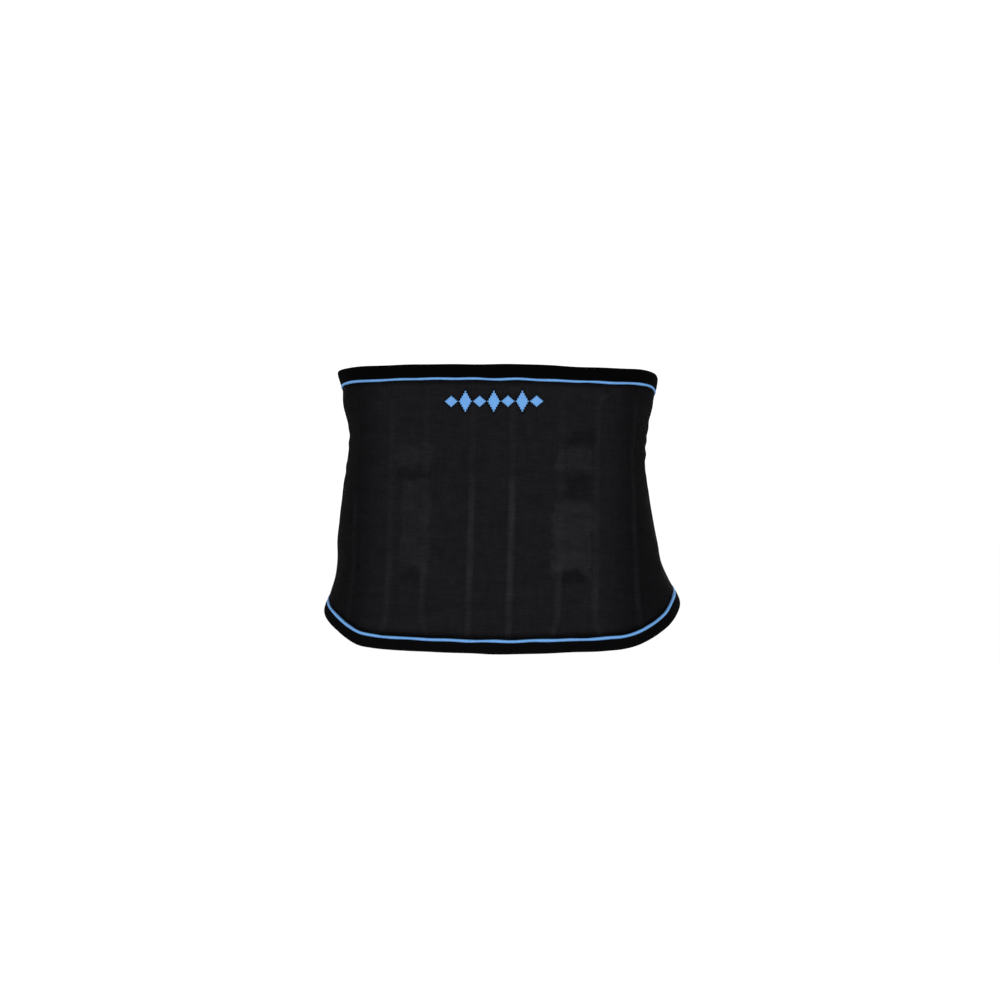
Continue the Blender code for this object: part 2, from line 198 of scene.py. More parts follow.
# Colours (linear)
KNIT_COLOUR = (0.0049, 0.0049, 0.0056)
BAND_COLOUR = (0.0011, 0.0010, 0.0012)
YARN_COLOUR = (0.110, 0.270, 0.545)
SLEEVE_COLOUR = (0.0072, 0.0072, 0.0080)
PAD_COLOUR = (0.0120, 0.0120, 0.0135)
HOOK_COLOUR = (0.0070, 0.0070, 0.0075)
THREAD_COLOUR = (0.0220, 0.0220, 0.0240)
SHEEN_TINT = (0.75, 0.80, 0.95, 1.0)
FLOOR_COLOUR = (0.92, 0.92, 0.92)
WORLD_COLOUR = (1.0, 1.0, 1.0, 1.0)

# The studio: soft square lights, a floor far below, and the camera with its turn round the belt and
# its focal length in pixels of a picture 1000 pixels wide
Light = namedtuple("Light", "name at size energy")
LIGHTS = (
    Light("key", at=(1.0, -2.3, 1.0), size=1.0, energy=42),
    Light("fill", at=(-1.0, -2.3, 0.2), size=1.6, energy=26),
    Light("front", at=(0.0, 2.6, 0.9), size=1.2, energy=60),
)
WORLD_STRENGTH = 1.1
FLOOR_HEIGHT = -0.75
FLOOR_REACH = 30.0
CAMERA_TURN = 4.0
CAMERA_DISTANCE = 2.0
CAMERA_HEIGHT = -0.0512
CAMERA_FOCAL = 2113
CAMERA_CLIP = (0.05, 200.0)
FRAME_WIDTH = 1000
SENSOR_WIDTH = 36.0

Ring = namedtuple("Ring", "arc x y out_x out_y half_left half_right lean")
Edge = namedtuple("Edge", "name inward height_at_back band_height paleness line_width")
BOTTOM = Edge("bottom", 1, -WAIST_ABOVE_BOTTOM, BOTTOM_BAND_HEIGHT, paleness=1.0, line_width=0.0026)
TOP = Edge("top", -1, BACK_HEIGHT - WAIST_ABOVE_BOTTOM, TOP_BAND_HEIGHT, paleness=0.5, line_width=0.0022)
EDGES = (BOTTOM, TOP)


def eased(share):
    """Eases from 0 to 1 as share does."""
    share = np.clip(share, 0.0, 1.0)
    return share * share * (3 - 2 * share)


def mix(low, high, share):
    """A share of the way from low to high."""
    return low + share * (high - low)


def interp_each(at, places, values):
    """Each of several values that are known at places, at other places."""
    return np.stack([np.interp(at, places, one) for one in values], axis=-1)


def column_at(table, column, at):
    """A column of a table where its first column is at, on a smooth curve through the rows."""
    places = np.array([row[0] for row in table])
    values = np.array([getattr(row, column) for row in table])
    slopes = np.gradient(values, places)
    at = np.clip(at, places[0], places[-1])
    row = np.clip(np.searchsorted(places, at) - 1, 0, len(places) - 2)
    span = places[row + 1] - places[row]
    t = (at - places[row]) / span
    start = (2 * t**3 - 3 * t**2 + 1) * values[row] + (t**3 - 2 * t**2 + t) * span * slopes[row]
    end = (3 * t**2 - 2 * t**3) * values[row + 1] + (t**3 - t**2) * span * slopes[row + 1]
    return start + end


def ring_at(z):
    """The waist form's outline at height z, twice round, so that a lapped end can pass the front."""
    height = (z + WAIST_ABOVE_BOTTOM) / BACK_HEIGHT
    turn = np.linspace(-math.tau, math.tau, RING_POINTS)
    across = np.sin(turn)
    along = -np.cos(turn)
    left, right, back, front, lean = (column_at(SECTIONS, c, height) for c in Section._fields[1:])
    half_width = np.where(across < 0, left, right) * WAIST_WIDTH / 2
    half_depth = np.where(along < 0, back, front) * WAIST_DEPTH / 2
    power = np.where(along < 0, BACK_SQUARENESS, FRONT_SQUARENESS)
    reach = (np.abs(across / half_width) ** power + np.abs(along / half_depth) ** power) ** (-1 / power)
    x = reach * across
    y = reach * along
    arc = np.concatenate([[0.0], np.cumsum(np.hypot(np.diff(x), np.diff(y)))])
    middle = RING_POINTS // 2
    arc -= arc[middle]
    half_turn = (RING_POINTS - 1) // 4
    return Ring(
        arc, x, y, np.gradient(y, arc), -np.gradient(x, arc),
        half_left=-arc[middle - half_turn],
        half_right=arc[middle + half_turn],
        lean=lean * WAIST_WIDTH,
    )


WAIST = ring_at(0.0)

SPINE_STAY_AT = SPINE_STAY_SPACING / 2
POCKET_INNER_AT = SPINE_STAY_AT + SPINE_TO_POCKET
POCKET_OUTER_AT = POCKET_INNER_AT + POCKET_WIDTH
SIDE_STAY_AT = POCKET_OUTER_AT + POCKET_TO_SIDE
CREST_HALF = STAY_WIDTH / 2 + CLEARANCE
STRETCH_FROM = SIDE_STAY_AT + CREST_HALF + RIDGE_FLANK
LAP_STEP = max(KNIT_WALL + PATCH_WALL + 2 * CLEARANCE, BAND_WALL + CLEARANCE, STRIPE_WALL + CLEARANCE)
LEFT_END = -(WAIST.half_left + OVERLAP / 2)
RIGHT_END = WAIST.half_right + OVERLAP / 2
Side = namedtuple("Side", "name sign end")
SIDES = (Side("left", -1, LEFT_END), Side("right", 1, RIGHT_END))


def half_girth(ring, q):
    """Half of a ring's girth, on the side of girth position q."""
    return np.where(np.asarray(q) < 0, ring.half_left, ring.half_right)


def arc_at(q, ring):
    """Arc length along a ring for girth position q, which stretches to the ring's own girth."""
    lap = half_girth(WAIST, q) - OVERLAP / 2
    stretch = eased((np.abs(q) - STRETCH_FROM) / (lap - STRETCH_FROM))
    growth = half_girth(ring, q) - half_girth(WAIST, q)
    return q + np.copysign(1.0, q) * growth * stretch + ring.lean * (1 - stretch)


def form_row(z):
    """x, y and the outward direction of the waist form at height z, at every girth position."""
    ring = ring_at(z)
    return interp_each(arc_at(GIRTH, ring), ring.arc, (ring.x, ring.y, ring.out_x, ring.out_y))


GIRTH = np.arange(LEFT_END - PAST_ENDS, RIGHT_END + PAST_ENDS, GIRTH_STEP)
LEVELS = np.arange(BOTTOM.height_at_back - PAST_BOTTOM, TOP.height_at_back + PAST_TOP, LEVEL_STEP)
FORM = np.stack([form_row(z) for z in LEVELS])


def edge_line(edge):
    """Height of an edge at every girth position, and how much its slope lengthens a distance that
    is measured square to it."""
    left = column_at(RIMS, f"{edge.name}_left", np.abs(GIRTH) / WAIST.half_left)
    right = column_at(RIMS, f"{edge.name}_right", np.abs(GIRTH) / WAIST.half_right)
    share = np.where(GIRTH < 0, left, right)
    end = np.where(GIRTH < 0, -LEFT_END, RIGHT_END)
    into = np.maximum(np.abs(GIRTH) - end + END_TAPER_LENGTH, 0.0) / END_TAPER_LENGTH
    height = edge.height_at_back + edge.inward * (BACK_HEIGHT * share + END_TAPER * into**2)
    return height, np.hypot(1, np.gradient(height, GIRTH))


EDGE_LINES = {edge.name: edge_line(edge) for edge in EDGES}


def inside_edge(edge, q, distance):
    """Height of the line that runs inside an edge at a distance, measured square to it."""
    height, lengthening = (np.interp(q, GIRTH, values) for values in EDGE_LINES[edge.name])
    return height + edge.inward * distance * lengthening


def belt_height(q, share, past=0.0):
    """Height at a share of the whole belt's height, from a line this far past its lower edge to one
    as far past its upper edge."""
    return mix(*(inside_edge(edge, q, -past) for edge in EDGES), share)


def knit_height(q, share):
    """Height at a share of the knit's own height, from its lower edge."""
    trim = STRIPE_HEIGHT + 2 * CLEARANCE
    return mix(*(inside_edge(edge, q, edge.band_height + trim) for edge in EDGES), share)


def knit_share(q, z):
    """The share of the knit's own height that a height is at."""
    low, high = knit_height(q, 0.0), knit_height(q, 1.0)
    return (z - low) / (high - low)


KNIT_BACK_HEIGHT = float(knit_height(0.0, 1.0) - knit_height(0.0, 0.0))
TAPER_SHARE = RIDGE_TAPER / KNIT_BACK_HEIGHT
PAD_LOW = PAD_MIDDLE - PAD_LENGTH / KNIT_BACK_HEIGHT / 2
PAD_HIGH = PAD_MIDDLE + PAD_LENGTH / KNIT_BACK_HEIGHT / 2


def lap_offset(q):
    """How far the left end steps outward to lie over the right end."""
    raised_from = WAIST.half_left - OVERLAP / 2 - LAP_MARGIN
    return LAP_STEP * eased((-q - raised_from + LAP_RAMP) / LAP_RAMP)


def place(q, z, offset):
    """Points at girth positions and heights, offset outward from the waist form."""
    q, z, offset = np.broadcast_arrays(q, z, offset)
    column = (q - GIRTH[0]) / GIRTH_STEP
    row = (z - LEVELS[0]) / LEVEL_STEP
    c = np.clip(column.astype(int), 0, len(GIRTH) - 2)
    r = np.clip(row.astype(int), 0, len(LEVELS) - 2)
    u, v = (column - c)[..., None], (row - r)[..., None]
    low = FORM[r, c] * (1 - u) + FORM[r, c + 1] * u
    high = FORM[r + 1, c] * (1 - u) + FORM[r + 1, c + 1] * u
    x, y, out_x, out_y = np.moveaxis(low * (1 - v) + high * v, -1, 0)
    out = offset + lap_offset(q)
    return np.stack([x + out * out_x, y + out * out_y, z], axis=-1)


def waviness(q, z, length, depth, seed):
    """A smooth seeded unevenness over the cloth, about depth either way."""
    random = np.random.default_rng(seed)
    total = np.zeros(np.broadcast(q, z).shape)
    for _ in range(WAVES):
        turn, phase = random.uniform(0, math.tau, 2)
        span = length * random.uniform(*WAVE_LENGTHS)
        total += np.sin(math.tau * (q * math.cos(turn) + z * math.sin(turn)) / span + phase)
    return depth * total / math.sqrt(WAVES / 2)


def stitch_relief(u, v, wale, course):
    """Height of V-shaped stitches, from 0 between the yarns to 1 on top of them."""
    leg = np.abs(np.mod(u / wale, 1) - 0.5) * 2
    along = np.mod(v / course + STITCH_SLANT * leg, 1)
    return np.sin(np.pi * leg) * mix(STITCH_LOW, 1, np.sin(np.pi * along))


# Ridges where stays lie behind the knit. rise is their height as a share of RIDGE_HEIGHT. glow is
# how much paler the ridge is below the turn, partly the stretched yarn and partly painted sheen,
# and faint how much above it. top is the share of the knit's height where the ridge ends. flare
# and hook are how far the lower and the upper end swing along the girth. The right spine ridge is
# a little nearer the centre back than its stay.
Ridge = namedtuple("Ridge", "at rise glow faint turn top flare hook", defaults=(0.0, 0.0))
RIGHT_SPINE_AT = SPINE_STAY_AT - 0.0012
RIDGES = (
    Ridge(-SPINE_STAY_AT, 1.0, 0.64, 0.14, 0.60, 0.90),
    Ridge(RIGHT_SPINE_AT, 1.0, 0.78, 0.18, 0.60, 0.92),
    Ridge(-POCKET_INNER_AT, 0.8, 0.34, 0.10, 0.30, 0.95, flare=0.007),
    Ridge(POCKET_INNER_AT, 0.8, 0.40, 0.12, 0.30, 0.96, flare=-0.006),
    Ridge(-POCKET_OUTER_AT, 0.8, 0.34, 0.20, 0.32, 1.00, flare=-0.006, hook=-0.020),
    Ridge(POCKET_OUTER_AT, 0.8, 0.38, 0.24, 0.32, 1.00, flare=0.006, hook=0.030),
    Ridge(-SIDE_STAY_AT, 0.5, 0.24, 0.02, 0.52, 0.95, flare=-0.003),
    Ridge(SIDE_STAY_AT, 0.6, 0.34, 0.28, 0.40, 0.96, flare=0.003),
)
FLARE_UP_TO = 0.10
HOOK_FROM = 0.91
TURN_BLEND = 0.10
GLOW_CREST = 0.0012
GLOW_FLANK = 0.0030
ROUND_CREST = 0.0012
ROUND_FLANK = 0.0050

# Paler fields where the pads press the knit, partly the stretched yarn and partly painted sheen,
# and darker ones, painted shade beyond the pads' ends. side is -1 or 1, near and far are the girth
# positions of the field's sides, low and high are shares of the knit's height. glow is how much
# paler the field is, and rise how far it stands out. arch is how far the middle of the lower end
# is hollowed out.
Field = namedtuple("Field", "side near far low high glow rise arch", defaults=(0.0, 0.0))
FIELDS = (
    Field(-1, 0.056, 0.084, 0.235, 0.608, glow=0.27, rise=PAD_RISE, arch=PAD_ARCH),
    Field(-1, 0.056, 0.088, 0.612, 0.655, glow=-0.24),
    Field(-1, 0.056, 0.090, 0.662, 0.751, glow=0.32, rise=PAD_RISE),
    Field(-1, 0.066, 0.084, 0.218, 0.258, glow=-0.20),
    Field(1, 0.055, 0.090, 0.232, 0.534, glow=0.46, rise=PAD_RISE, arch=PAD_ARCH),
    Field(1, 0.057, 0.090, 0.240, 0.345, glow=0.14, arch=PAD_ARCH),
    Field(1, 0.066, 0.088, 0.556, 0.640, glow=-0.24),
    Field(1, 0.059, 0.090, 0.657, 0.741, glow=0.40, rise=PAD_RISE),
    Field(1, 0.069, 0.093, 0.766, 0.818, glow=-0.30),
    Field(1, 0.064, 0.084, 0.214, 0.260, glow=-0.26),
)
FIELD_BLUR = 0.0055
FIELD_SIDE_BLUR = 0.0040

# Painted shade on the flanks, which are darker than the back and the front
FLANK_FROM = 0.095
FLANK_TO = 0.240
FLANK_BLEND = 0.045
FRONT_BLEND = 0.070
FLANK_PAINTED_SHADE = 0.49

# Painted shade on the knit beside each stripe, out to this far from it
Seam = namedtuple("Seam", "reach darker")
LOWER_SEAM_SHADE = Seam(reach=0.0062, darker=0.80)
UPPER_SEAM_SHADE = Seam(reach=0.0040, darker=0.55)

# Creases run level over the flanks at the waist, between these girth positions
CREASES_FROM = 0.150
CREASES_TO = 0.300
CREASES_BLEND = 0.035
CREASES_REACH = 0.030
CREASES_AT = 0.006
CREASE_DEPTH = 0.00045
CREASE_STRETCH = 0.22

# Small puckers where the knit is sewn to a stripe
PUCKER_DEPTH = 0.00018
PUCKER_REACH = 0.012


def ridge_share(ridge, share):
    """How strong a ridge is at each row, fading out at its two ends."""
    return eased(share / TAPER_SHARE + 0.5) * eased((ridge.top - share) / TAPER_SHARE + 0.5)


def ridge_line(ridge, share):
    """Girth position of a ridge at each row."""
    below = np.clip((FLARE_UP_TO - share) / FLARE_UP_TO, 0, 1)
    above = np.clip((share - HOOK_FROM) / (1 - HOOK_FROM), 0, 1)
    return ridge.at + ridge.flare * below**2 + ridge.hook * above**2


def field_share(field, q, share):
    """How far a place lies inside a field, from 0 to 1."""
    half = (field.far - field.near) / 2
    from_middle = np.abs(q - field.side * (field.near + half))
    bow = np.clip(1 - (from_middle / half) ** 2, 0, 1)
    height = share * KNIT_BACK_HEIGHT
    low = field.low * KNIT_BACK_HEIGHT + field.arch * bow
    high = field.high * KNIT_BACK_HEIGHT
    uneven = waviness(q, height, length=0.012, depth=0.0014, seed=21)
    inside = eased((half - from_middle + uneven) / FIELD_SIDE_BLUR + 0.5)
    inside = inside * eased((height + uneven - low) / FIELD_BLUR + 0.5)
    return inside * eased((high - height - uneven) / FIELD_BLUR + 0.5)


def relief(q, share, crest, flank):
    """How far the stays and pads press the knit outward."""
    total = np.zeros(np.broadcast(q, share).shape)
    for field in FIELDS:
        total += field.rise * field_share(field, q, share)
    for ridge in RIDGES:
        near = eased(1 - (np.abs(q - ridge_line(ridge, share)) - crest) / flank)
        total += (RIDGE_HEIGHT * ridge.rise - total) * near * ridge_share(ridge, share)
    return total


def paleness(q, share):
    """How pale or dark the knit is beside its plain colour, as a factor: painted shade on the flanks,
    beyond the pads' ends and beside the stripes, and the stretched yarn's paleness with painted sheen
    on the ridges and pad fields.
    """
    across = np.abs(q)
    # Painted shade on the flanks
    flank = eased((across - FLANK_FROM) / FLANK_BLEND) * eased((FLANK_TO - across) / FRONT_BLEND)
    total = np.ones(np.broadcast(q, share).shape) - FLANK_PAINTED_SHADE * flank
    # Pad fields: stretched yarn with painted sheen, and painted shade beyond the pads' ends
    for field in FIELDS:
        total += field.glow * field_share(field, q, share)
    # Paler ridges: the stretched yarn's own paleness and painted sheen
    for ridge in RIDGES:
        glow = mix(ridge.glow, ridge.faint, eased((share - ridge.turn) / TURN_BLEND + 0.5))
        glow = glow * (1 + waviness(ridge.at, share, length=0.20, depth=0.18, seed=31))
        near = eased(1 - (np.abs(q - ridge_line(ridge, share)) - GLOW_CREST) / GLOW_FLANK)
        total += glow * near * ridge_share(ridge, share)
    # Painted shade on the knit beside the stripes
    for seam, away in ((LOWER_SEAM_SHADE, share), (UPPER_SEAM_SHADE, 1 - share)):
        total = total * (1 - seam.darker * eased(1 - away * KNIT_BACK_HEIGHT / seam.reach))
    return total


def creases(q, z):
    """How far the creases at the waist lift the cloth."""
    across = np.abs(q)
    where = eased((across - CREASES_FROM) / CREASES_BLEND) * eased((CREASES_TO - across) / CREASES_BLEND)
    where = where * np.exp(-(((z - CREASES_AT) / CREASES_REACH) ** 2))
    return where * waviness(CREASE_STRETCH * q, z, length=0.013, depth=CREASE_DEPTH, seed=12)


def unevenness(q, z, share):
    """Small waves in the outer face of the knit, with puckers by the stripes."""
    by_seam = np.exp(-np.minimum(share, 1 - share) * KNIT_BACK_HEIGHT / PUCKER_REACH)
    puckers = by_seam * waviness(q, CREASE_STRETCH * z, length=0.012, depth=PUCKER_DEPTH, seed=17)
    return waviness(q, z, length=0.034, depth=0.00022, seed=3) + puckers


# A row of lozenges knitted into the upper back, with one black wale between two of them. Each is as
# many courses high as its row says, and each wale towards its side has evenly fewer. MOTIF_LIFT is
# how far they stand out between the yarns, and MOTIF_SINK how far they reach into the knit, which is
# darker beside them, out to SHADOW_TO of their half size.
MOTIF_HEIGHT = 0.0378
MOTIF_WALE = 0.00128
MOTIF_WALES = 9
MOTIF_COURSES = (9, 17, 9, 17, 9, 17, 9)
MOTIF_ACROSS = (MOTIF_WALES + 1) * len(MOTIF_COURSES) - 1
MOTIF_TALL = max(MOTIF_COURSES)
MOTIF_LIFT = 0.00006
MOTIF_SINK = 0.0004
MOTIF_RELIEF = 0.00045
MOTIF_SHADOW = 0.55
SHADOW_TO = 1.5
SHADOW_BLEND = 0.3


def motif_grid(q, z):
    """The lozenge, its wale and the course at each place, counted from the motif's corner."""
    across = q / MOTIF_WALE + MOTIF_ACROSS / 2
    course = (z - MOTIF_HEIGHT) / COURSE + MOTIF_TALL / 2
    lozenge = np.clip(np.floor((across + 0.5) / (MOTIF_WALES + 1)), 0, len(MOTIF_COURSES) - 1).astype(int)
    return lozenge, across - lozenge * (MOTIF_WALES + 1), course


def motif_reach(q, z):
    """How far out each place is from the middle of its lozenge, where 1 is the lozenge's rim."""
    lozenge, wale, course = motif_grid(q, z)
    tall = np.array(MOTIF_COURSES)[lozenge]
    sideways = np.abs(wale - MOTIF_WALES / 2) / (MOTIF_WALES / 2)
    return sideways + np.abs(course - MOTIF_TALL / 2) / (tall / 2)


# Meshes


def add_object(name, data):
    """An object in the scene with this mesh, light or camera."""
    made = bpy.data.objects.new(name, data)
    bpy.context.scene.collection.objects.link(made)
    return made


def finish_mesh(name, points, faces, weave, tone, material):
    """A smooth mesh object from points, faces, and a weave place and a tone for each point."""
    mesh = bpy.data.meshes.new(name)
    mesh.from_pydata(points.tolist(), [], faces.tolist())
    corners = np.empty(len(mesh.loops), dtype=np.int32)
    mesh.loops.foreach_get("vertex_index", corners)
    layer = mesh.uv_layers.new(name="Weave")
    layer.data.foreach_set("uv", weave[corners].astype(np.float32).ravel())
    tones = mesh.attributes.new("Tone", "FLOAT", "POINT")
    tones.data.foreach_set("value", tone.astype(np.float32))
    mesh.materials.append(material)
    mesh.shade_smooth()
    mesh.update()
    return add_object(name, mesh)


def make_wall(name, q, z, outside, inside, tone, material, keep=True, inner_tone=None, across=None):
    """A closed wall over a grid of girth positions and heights, one column after another, between
    two offsets. keep says which cells there are. The inner face may have a tone of its own, and the
    weave may follow across instead of q."""
    outer, inner = place(q, z, outside), place(q, z, inside)
    weave = np.stack(np.broadcast_arrays(q if across is None else across, z), axis=-1)
    shape = outer.shape[:2]
    keep = np.broadcast_to(keep, (shape[0] - 1, shape[1] - 1))
    points = np.concatenate([outer.reshape(-1, 3), inner.reshape(-1, 3)])
    front = np.arange(math.prod(shape)).reshape(shape)
    back = front + front.size

    def cells(at, which):
        return np.stack([at[:-1, :-1], at[1:, :-1], at[1:, 1:], at[:-1, 1:]], axis=-1)[which]

    around = np.pad(keep, 1)
    low = around[1:-1, 1:] & ~around[1:-1, :-1]
    high = around[1:-1, :-1] & ~around[1:-1, 1:]
    left = around[1:, 1:-1] & ~around[:-1, 1:-1]
    right = around[:-1, 1:-1] & ~around[1:, 1:-1]
    flat = np.stack([back[:-1], back[1:], front[1:], front[:-1]], axis=-1)
    upright = np.stack([back[:, :-1], front[:, :-1], front[:, 1:], back[:, 1:]], axis=-1)
    faces = np.concatenate([
        cells(front, keep), cells(back, keep)[:, ::-1],
        flat[low], flat[high][:, ::-1], upright[left], upright[right][:, ::-1],
    ])
    used, renumbered = np.unique(faces, return_inverse=True)
    both = np.concatenate([weave.reshape(-1, 2)] * 2)
    both_tones = (tone, tone if inner_tone is None else inner_tone)
    tones = np.concatenate([np.broadcast_to(one, shape).ravel() for one in both_tones])
    faces = renumbered.reshape(faces.shape)
    return finish_mesh(name, points[used], faces, both[used], tones[used], material)


def dress(piece, slot, *nodes):
    """Fixes a piece to the belt and hides the solids it stands for. slot is not used."""
    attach(piece, "root")
    if nodes:
        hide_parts(*nodes)
    return piece


def spaced(start, end, cell):
    """Evenly spaced values from start to end, about a cell apart."""
    return np.linspace(start, end, max(int(round(abs(end - start) / cell)), 1) + 1)


def trim_columns(cell):
    """Girth positions of a strip that runs round the whole belt, about a cell apart."""
    return spaced(LEFT_END + TRIM_INSET, RIGHT_END - TRIM_INSET, cell)[:, None]


def columns(start, end, count):
    """Evenly spaced values from start to end for the columns of a grid."""
    return np.linspace(start, end, count + 1)[:, None]


def rows(start, end, count):
    """Evenly spaced values from start to end for the rows of a grid."""
    return np.linspace(start, end, count + 1)[None, :]


def rim_rows(count):
    """Shares from 0 to 1 for the rows of a strip, closer together at its rims."""
    return 0.5 - 0.5 * np.cos(rows(0, math.pi, count))


def strip_height(edge, q, share, start, end):
    """Height at a share across a strip inside an edge, which goes from start to end in from it."""
    return mix(*np.sort([inside_edge(edge, q, start), inside_edge(edge, q, end)], axis=0), share)


def arch(share):
    """Rises from 0 to 1 as a quarter circle does."""
    return np.sqrt(np.clip(1 - (1 - np.clip(share, 0, 1)) ** 2, 0, 1))


def make_knit(material):
    """The knitted wall, with rounded ridges, pad fields and slightly uneven cloth."""
    fine = spaced(-FINE_TO, FINE_TO, KNIT_CELL)
    left = spaced(LEFT_END, -FINE_TO, FRONT_CELL)[:-1]
    right = spaced(FINE_TO, RIGHT_END, FRONT_CELL)[1:]
    q = np.concatenate([left, fine, right])[:, None]
    reach = REACH_IN / KNIT_BACK_HEIGHT
    share = rows(-reach, 1 + reach, KNIT_ROWS)
    z = knit_height(q, share)
    crease = creases(q, z)
    outside = KNIT_WALL + relief(q, share, ROUND_CREST, ROUND_FLANK) + unevenness(q, z, share) + crease
    inside = relief(q, share, CREST_HALF, POCKET_FLANK) + crease
    below = (inside_edge(BOTTOM, q, BOTTOM.band_height / 2), z[:, :1] - TUCK_STEP)
    above = (z[:, -1:] + TUCK_STEP, inside_edge(TOP, q, TOP.band_height / 2))
    z = np.concatenate([*below, z, *above], axis=1)
    tucked = ((0, 0), (len(below), len(above)))
    outside = np.pad(outside, tucked, constant_values=TUCK_OUTSIDE)
    inside = np.pad(inside, tucked, constant_values=TUCK_INSIDE)
    shadow = MOTIF_SHADOW * eased((SHADOW_TO - motif_reach(q, z)) / SHADOW_BLEND)
    tone = paleness(q, np.clip(knit_share(q, z), 0, 1)) * (1 - shadow)
    knit = make_wall("knit_wall", q, z, outside, inside, tone, material, inner_tone=1.0)
    return dress(knit, "knit", "knit_body")


def make_band(edge, material):
    """A ribbed elastic border with rounded rims."""
    q = trim_columns(RIB_PITCH / RIB_CELLS.across)
    share = rim_rows(RIB_CELLS.up)
    start = waviness(q, 0.0, length=0.05, depth=0.00015, seed=5)
    z = strip_height(edge, q, share, start, edge.band_height + REACH_IN)
    out = np.abs(2 * share - 1)
    rounded = mix(RIM_WALL, 1, np.clip(1 - out**RIM_SQUARENESS, 0, 1) ** (1 / RIM_FULLNESS))
    rib = np.abs(np.sin(np.pi * q / RIB_PITCH))
    half = rounded * (BAND_WALL / 2 + RIB_DEPTH * (rib - RIB_MEAN))
    tone = edge.paleness * mix(*BAND_TONE, rib) * (1 + RIM_PALER * out**RIM_PALER_POWER)
    name = f"{edge.name}_border"
    band = make_wall(name, q, z, BAND_WALL / 2 + half, BAND_WALL / 2 - half, tone, material)
    return dress(band, "band", f"{edge.name}_band")


def make_stripe(edge, material):
    """The raised blue line of knitted stitches between a border and the knit."""
    q = trim_columns(STRIPE_WALE / STITCH_CELLS.across)
    share = rows(0, 1, STRIPE_COURSES * STITCH_CELLS.up)
    middle = edge.band_height + STRIPE_HEIGHT / 2 + waviness(q, 0.0, length=0.040, depth=0.00020, seed=8)
    half = edge.line_width / 2 * (1 + waviness(q, 0.0, length=0.028, depth=0.08, seed=9))
    z = strip_height(edge, q, share, middle - half, middle + half)
    loops = stitch_relief(q, share, STRIPE_WALE, 1 / STRIPE_COURSES)
    crown = np.sin(np.pi * mix(CROWN_FROM, 1 - CROWN_FROM, share))
    outside = STRIPE_WALL * (STRIPE_RIM + STRIPE_CROWN * crown) + STRIPE_RELIEF * loops * crown
    # The crown's factor is a painted highlight along the middle and painted shade at the rims
    tone = mix(*STRIPE_TONE, loops) * mix(*STRIPE_PAINTED_SHADING, crown**2)
    line = make_wall(f"{edge.name}_line", q, z, outside, STRIPE_INSIDE, tone, material)
    return dress(line, "stripe", f"{edge.name}_stripe")


def make_motif(material):
    """The lozenges, made of whole stitches that stand slightly proud of the knit."""
    across = columns(0, MOTIF_ACROSS * MOTIF_WALE, MOTIF_ACROSS * STITCH_CELLS.across)
    up = rows(0, MOTIF_TALL * COURSE, MOTIF_TALL * STITCH_CELLS.up)
    q = across - MOTIF_ACROSS * MOTIF_WALE / 2
    z = MOTIF_HEIGHT + up - MOTIF_TALL * COURSE / 2
    share = knit_share(q, z)
    loops = stitch_relief(across, up, MOTIF_WALE, COURSE)
    base = KNIT_WALL + relief(q, share, ROUND_CREST, ROUND_FLANK) + unevenness(q, z, share)
    lozenge, wale, course = motif_grid((q[1:] + q[:-1]) / 2, (z[:, 1:] + z[:, :-1]) / 2)
    tall = np.array(MOTIF_COURSES)[lozenge]
    steps = np.abs(np.floor(wale) - (MOTIF_WALES - 1) / 2) / ((MOTIF_WALES - 1) / 2)
    from_middle = np.abs(np.floor(course) - (MOTIF_TALL - 1) / 2)
    keep = 2 * from_middle < tall - (tall - 1) * steps
    outside = base + MOTIF_LIFT + MOTIF_RELIEF * loops
    tone = mix(*MOTIF_TONE, loops)
    motif = make_wall("knitted_lozenges", q, z, outside, base - MOTIF_SINK, tone, material, keep)
    return dress(motif, "stripe")


# The stays' sleeves. They touch the knit but for SLEEVE_GAP, and bulge over the stay with some slack.
SLEEVE_FLANGE = 0.0021
SLEEVE_TAPE = 0.00035
SLEEVE_OVERHANG = 0.004
SLEEVE_CORNER = 0.6
SLEEVE_GAP = 0.00003
SLEEVE_SLACK = 0.0006
SLEEVE_BLEND = 0.0014
SLEEVE_FULLER = 1.3

# The pads. PAD_FULLNESS is the share of the wall that a pad has before the swell, and PAD_RIM the
# share of that at its rim.
PAD_SHOULDER = 0.8
PAD_ROUNDING = 0.003
PAD_RIM = 0.25
PAD_FULLNESS = 0.75
SWELL = 0.0013
SWELL_PRESSURE = 4
SWELL_FRAMES = 20

# The bindings of the free ends, which are thinner at the hem, and the hook patch. Its hooks start
# HOOKS_FROM border widths in, and PATCH_RIM and PATCH_HOOKS are shares of its wall.
BINDING_WIDTH = 0.009
BINDING_OVER = 0.0005
BINDING_ROUNDING = 0.0018
BINDING_RIM = 0.08
BINDING_HEM = 0.001
HEM_THINNER = 0.6
HOOK_BORDER = 0.0012
HOOKS_FROM = 1.5
PATCH_RIM = 0.55
PATCH_HOOKS = 0.40

Stay = namedtuple("Stay", "name at top")
STAYS = tuple(
    Stay(f"{kind}_{side.name}", side.sign * at, 1 - tapers * TAPER_SHARE)
    for kind, at, tapers in (
        ("spine_stay", SPINE_STAY_AT, 2),
        ("pocket_inner_stay", POCKET_INNER_AT, 1),
        ("pocket_outer_stay", POCKET_OUTER_AT, 1),
        ("side_stay", SIDE_STAY_AT, 1),
    )
    for side in SIDES
)


